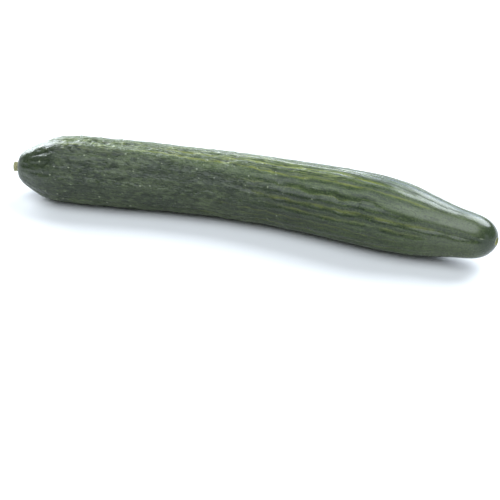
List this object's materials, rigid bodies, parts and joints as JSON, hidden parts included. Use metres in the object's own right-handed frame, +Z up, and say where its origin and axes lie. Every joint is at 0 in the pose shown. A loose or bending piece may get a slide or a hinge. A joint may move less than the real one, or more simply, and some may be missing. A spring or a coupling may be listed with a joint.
{
  "type": "cucumber",
  "caption": "Whole long greenhouse cucumber with a gentle bend, low wavy ribs, a blunt end with a dry stem stub and a tapered blossom end, lying on its side.",
  "frame": {"origin": "middle of the bounding box, on the surface that the cucumber lies on", "axes": "+X along its length, from the stem end to the blossom end; +Y sideways, the way that its bend bows; +Z up"},
  "size_m": [0.3394, 0.0592, 0.0476],
  "materials": {
    "skin": "waxy dark green skin with fine yellow-green streaks in its grooves"
  },
  "bodies": {
    "root": {"cucumber": "skin"}
  },
  "joints": []
}
